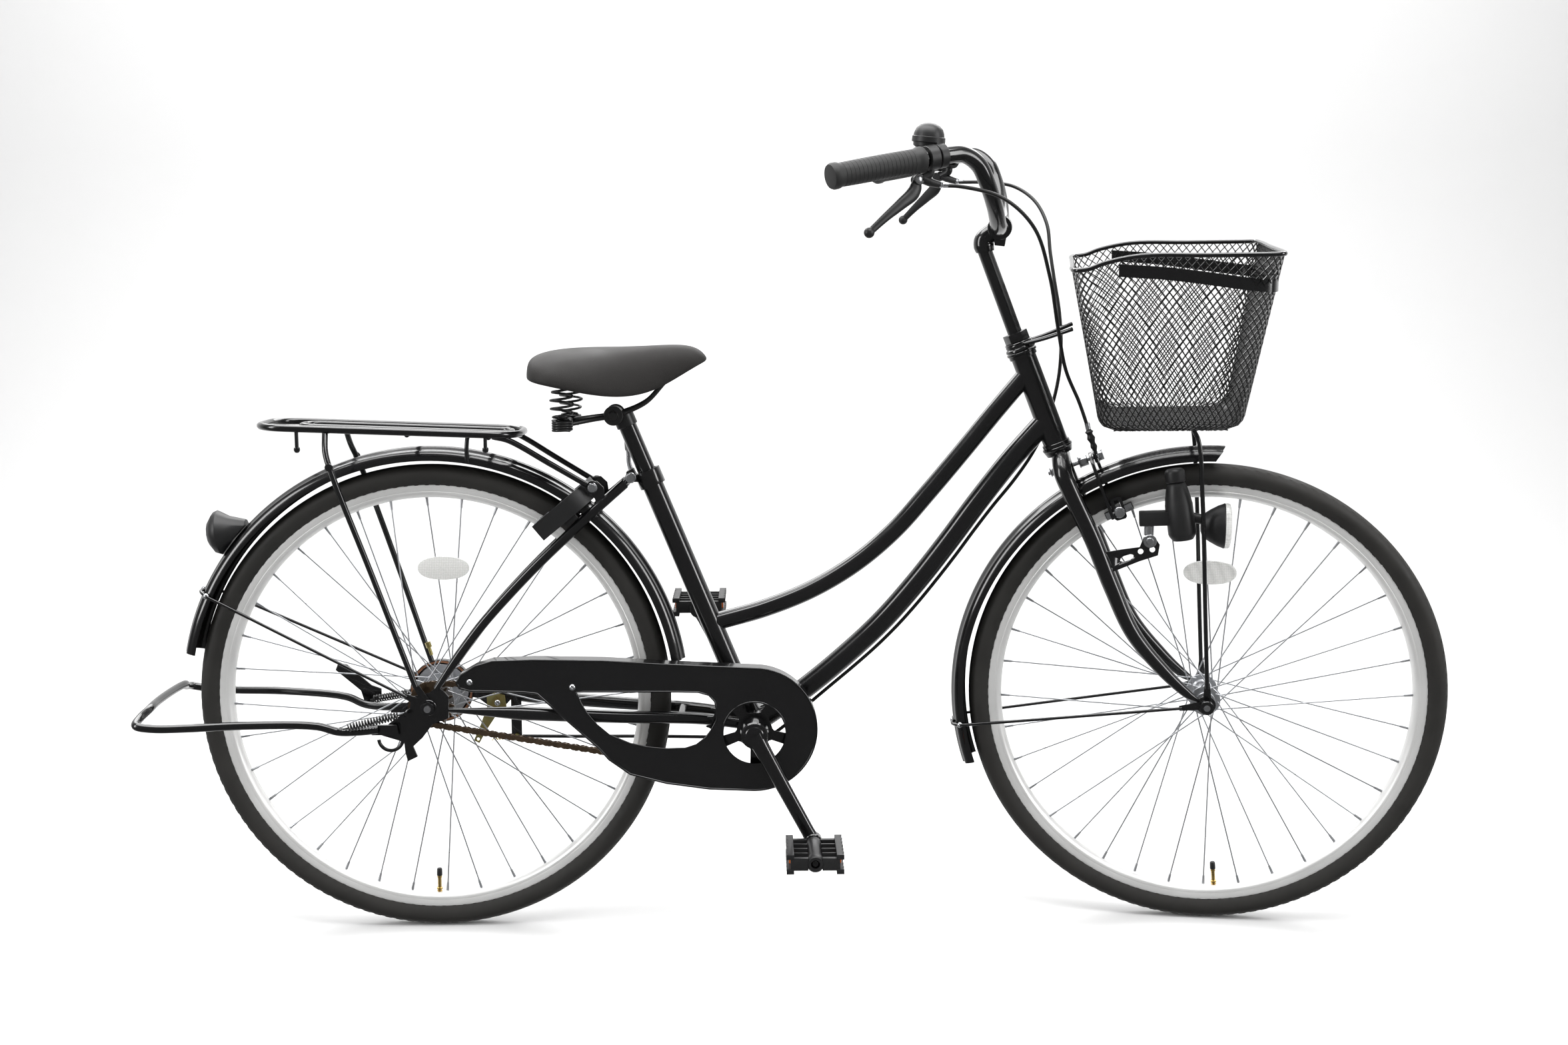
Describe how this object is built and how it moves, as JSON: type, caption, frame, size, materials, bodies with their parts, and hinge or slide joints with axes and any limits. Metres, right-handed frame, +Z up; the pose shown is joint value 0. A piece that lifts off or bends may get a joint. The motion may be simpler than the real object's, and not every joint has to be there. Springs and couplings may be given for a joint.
{
  "type": "city bicycle",
  "caption": "Step-through city bicycle with front basket, rear rack, chain case, ring lock, two-leg stand and dynamo lamp.",
  "frame": {"origin": "where the rear tyre touches the ground, on the bike's middle plane", "axes": "+X forward, +Y to the rider's left, +Z up; the steering is turned 10 degrees to the right at rest"},
  "size_m": [1.7974, 0.5666, 1.1088],
  "materials": {
    "black_paint": "gloss",
    "tyre_rubber": "matte",
    "grip_rubber": "matte",
    "satin_aluminium": "satin",
    "bright_steel": "gloss",
    "yellow_zinc": "satin",
    "brown_chain_steel": "satin",
    "saddle_vinyl": "matte",
    "black_plastic": "satin",
    "clear_reflector": "gloss"
  },
  "bodies": {
    "frame": {"main_frame": "black_paint", "seat_stay_right": "black_paint", "seat_stay_left": "black_paint", "seat_clamp": "black_paint", "rear_fender": "black_paint", "tail_reflector": "black_plastic", "rear_rack": "black_paint", "chain_case": "black_paint", "band_brake": "bright_steel", "ring_lock": "black_plastic", "chain": "brown_chain_steel", "rear_brake_cable": "black_plastic", "stand_spring_right": "bright_steel", "stand_spring_left": "bright_steel"},
    "steering": {"fork": "black_paint", "stem": "black_paint", "handlebar": "black_paint", "grip_right": "grip_rubber", "grip_left": "grip_rubber", "brake_bracket_right": "black_plastic", "brake_bracket_left": "black_plastic", "bell": "black_plastic", "front_fender": "black_paint", "basket_rim": "black_paint", "basket_net_front": "black_paint", "basket_net_back": "black_paint", "basket_net_right": "black_paint", "basket_net_left": "black_paint", "basket_bottom": "black_paint", "basket_stays": "black_paint", "front_axle": "bright_steel", "front_brake_cable": "black_plastic"},
    "front_wheel": {"front_tyre": "tyre_rubber", "front_rim": "satin_aluminium", "front_hub": "bright_steel", "front_spoke_reflector": "clear_reflector"},
    "rear_wheel": {"rear_tyre": "tyre_rubber", "rear_rim": "satin_aluminium", "rear_hub": "bright_steel", "rear_spoke_reflector": "clear_reflector"},
    "crankset": {"crank_right": "black_paint", "crank_left": "black_paint"},
    "pedal_right_body": {"pedal_right": "black_plastic"},
    "pedal_left_body": {"pedal_left": "black_plastic"},
    "sprocket": {"rear_sprocket": "brown_chain_steel"},
    "lever_right": {"brake_lever_right": "black_plastic"},
    "lever_left": {"brake_lever_left": "black_plastic"},
    "caliper_right": {"caliper_arm_right": "bright_steel"},
    "caliper_left": {"caliper_arm_left": "bright_steel"},
    "brake_arm": {"rear_brake_arm": "yellow_zinc"},
    "bell_thumb": {"bell_lever": "black_plastic"},
    "stand": {"kickstand": "black_paint"},
    "stand_lock": {"stand_lock_lever": "black_paint"},
    "seat": {"seat_post": "black_paint", "saddle": "saddle_vinyl", "saddle_frame": "bright_steel"},
    "seat_lever": {"seat_clamp_lever": "bright_steel"},
    "lock_bolt": {"ring_lock_bolt": "bright_steel"},
    "dynamo": {"dynamo_lamp": "black_plastic"},
    "dynamo_roller_body": {"dynamo_roller": "black_plastic"}
  },
  "joints": [
    {"name": "steer", "type": "hinge", "parent": "frame", "child": "steering", "pos_m": [0.8713, 0, 0.6778], "axis": [-0.3636, 0, 0.9316], "range_deg": [-50, 70], "deforming": ["rear_brake_cable"]},
    {"name": "front_wheel_spin", "type": "hinge", "parent": "steering", "child": "front_wheel", "pos_m": [1.08081, -0.01209, 0.32961], "axis": [0.1618, 0.9848, 0.0631], "continuous": true},
    {"name": "rear_wheel_spin", "type": "hinge", "parent": "frame", "child": "rear_wheel", "pos_m": [0, 0, 0.33], "axis": [0, 1, 0], "continuous": true},
    {"name": "crank_spin", "type": "hinge", "parent": "frame", "child": "crankset", "pos_m": [0.4475, 0, 0.29], "axis": [0, 1, 0], "continuous": true, "deforming": ["chain"]},
    {"name": "sprocket_spin", "type": "hinge", "parent": "frame", "child": "sprocket", "pos_m": [0, 0, 0.33], "axis": [0, 1, 0], "continuous": true, "deforming": ["chain"]},
    {"name": "pedal_right_spin", "type": "hinge", "parent": "crankset", "child": "pedal_right_body", "pos_m": [0.52809, 0, 0.14032], "axis": [0, 1, 0], "continuous": true},
    {"name": "pedal_left_spin", "type": "hinge", "parent": "crankset", "child": "pedal_left_body", "pos_m": [0.3669, 0, 0.43968], "axis": [0, 1, 0], "continuous": true},
    {"name": "brake_lever_right_pull", "type": "hinge", "parent": "steering", "child": "lever_right", "pos_m": [0.65747, -0.18887, 1.03569], "axis": [-0.4146, 0.9047, -0.0984], "range_deg": [0, 18], "stiffness_Nm_per_rad": 0.6},
    {"name": "brake_lever_left_pull", "type": "hinge", "parent": "steering", "child": "lever_left", "pos_m": [0.72153, 0.20111, 1.06069], "axis": [0.6791, 0.7058, 0.2017], "range_deg": [0, 18], "stiffness_Nm_per_rad": 0.6},
    {"name": "caliper_right_close", "type": "hinge", "parent": "steering", "child": "caliper_right", "pos_m": [0.9145, -0.00618, 0.6635], "axis": [0.9174, -0.1736, 0.358], "range_deg": [0, 1.3]},
    {"name": "caliper_left_close", "type": "hinge", "parent": "steering", "child": "caliper_left", "pos_m": [0.9145, -0.00618, 0.6635], "axis": [-0.9174, 0.1736, -0.358], "range_deg": [0, 1.3]},
    {"name": "rear_brake_arm_pull", "type": "hinge", "parent": "frame", "child": "brake_arm", "pos_m": [0.079, 0.0388, 0.312], "axis": [0, -1, 0], "range_deg": [0, 8]},
    {"name": "bell_lever_push", "type": "hinge", "parent": "steering", "child": "bell_thumb", "pos_m": [0.66181, -0.15734, 1.07128], "axis": [-0.0051, -0.0631, 0.998], "range_deg": [0, 20], "stiffness_Nm_per_rad": 0.05},
    {"name": "kickstand_swing", "type": "hinge", "parent": "frame", "child": "stand", "pos_m": [-0.0513, 0, 0.2987], "axis": [0, -1, 0], "range_deg": [0, 92], "deforming": ["stand_spring_right", "stand_spring_left"]},
    {"name": "stand_lock_turn", "type": "hinge", "parent": "stand", "child": "stand_lock", "pos_m": [-0.1181, 0.1012, 0.3049], "axis": [0, 1, 0], "range_deg": [0, 25]},
    {"name": "seat_height", "type": "slide", "parent": "frame", "child": "seat", "axis": [-0.3809, 0, 0.9246], "range_m": [-0.018, 0.06]},
    {"name": "seat_clamp_turn", "type": "hinge", "parent": "frame", "child": "seat_lever", "pos_m": [0.278, 0, 0.641], "axis": [0, -1, 0], "range_deg": [0, 70]},
    {"name": "ring_lock_close", "type": "hinge", "parent": "frame", "child": "lock_bolt", "pos_m": [0.18875, 0, 0.59043], "axis": [-0.6402, 0, 0.7682], "range_deg": [0, 103]},
    {"name": "dynamo_tilt", "type": "hinge", "parent": "steering", "child": "dynamo", "pos_m": [0.9911, -0.0566, 0.5568], "axis": [-0.9868, 0.1618, 0.0051], "range_deg": [0, 5.5]},
    {"name": "dynamo_roller_spin", "type": "hinge", "parent": "dynamo", "child": "dynamo_roller_body", "pos_m": [1.02238, -0.06432, 0.63663], "axis": [-0.1504, 0.0003, 0.9886], "continuous": true}
  ],
  "couplings": [
    {"joint": "sprocket_spin", "follows": "crank_spin", "ratio": 2.2857},
    {"joint": "caliper_right_close", "follows": "brake_lever_right_pull", "ratio": 0.07202},
    {"joint": "caliper_left_close", "follows": "brake_lever_right_pull", "ratio": 0.07202},
    {"joint": "rear_brake_arm_pull", "follows": "brake_lever_left_pull", "ratio": 0.44}
  ]
}
